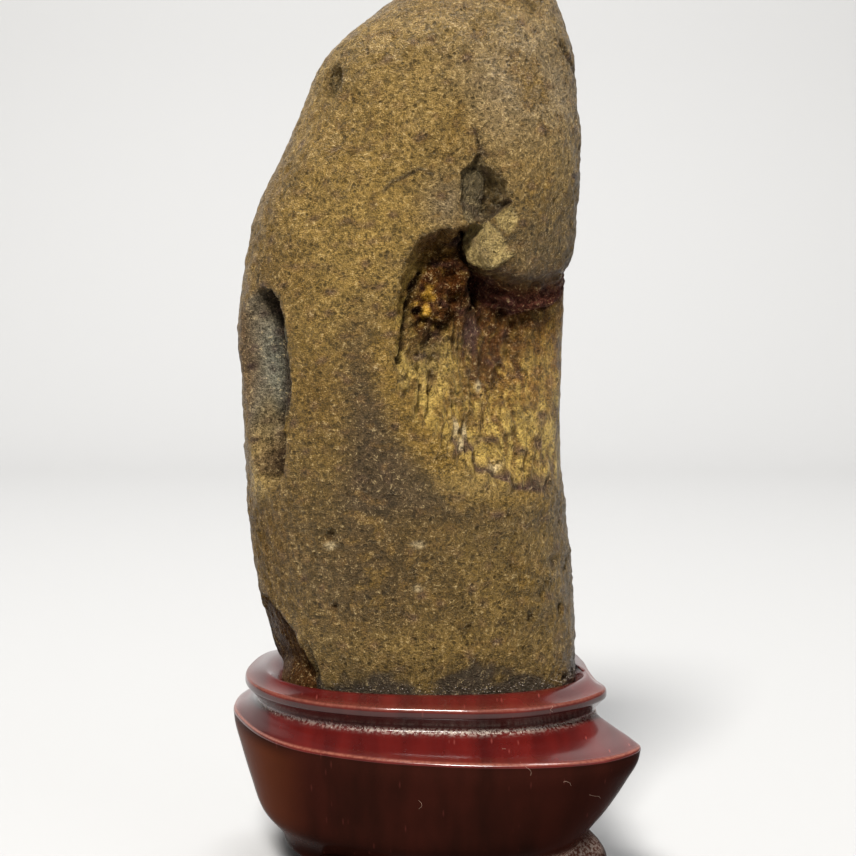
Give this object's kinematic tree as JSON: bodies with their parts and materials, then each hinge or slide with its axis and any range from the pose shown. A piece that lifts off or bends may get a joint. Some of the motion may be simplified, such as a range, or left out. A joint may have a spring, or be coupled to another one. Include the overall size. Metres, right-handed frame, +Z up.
{
  "type": "scholars rock",
  "caption": "Tall water-worn viewing stone with an overhanging lobe, a cleft and a scooped hollow, seated in a carved hardwood stand.",
  "frame": {"origin": "on the ground under the middle of the stand's rim", "axes": "+Z up along the stone's height, the scooped face of the stone looks towards -Y"},
  "size_m": [0.0897, 0.0754, 0.2015],
  "materials": {
    "stone": "sandy bronze-brown weathered rock",
    "rosewood": "polished dark red-brown"
  },
  "bodies": {
    "root": {"stone": "stone", "stand": "rosewood"}
  },
  "joints": []
}
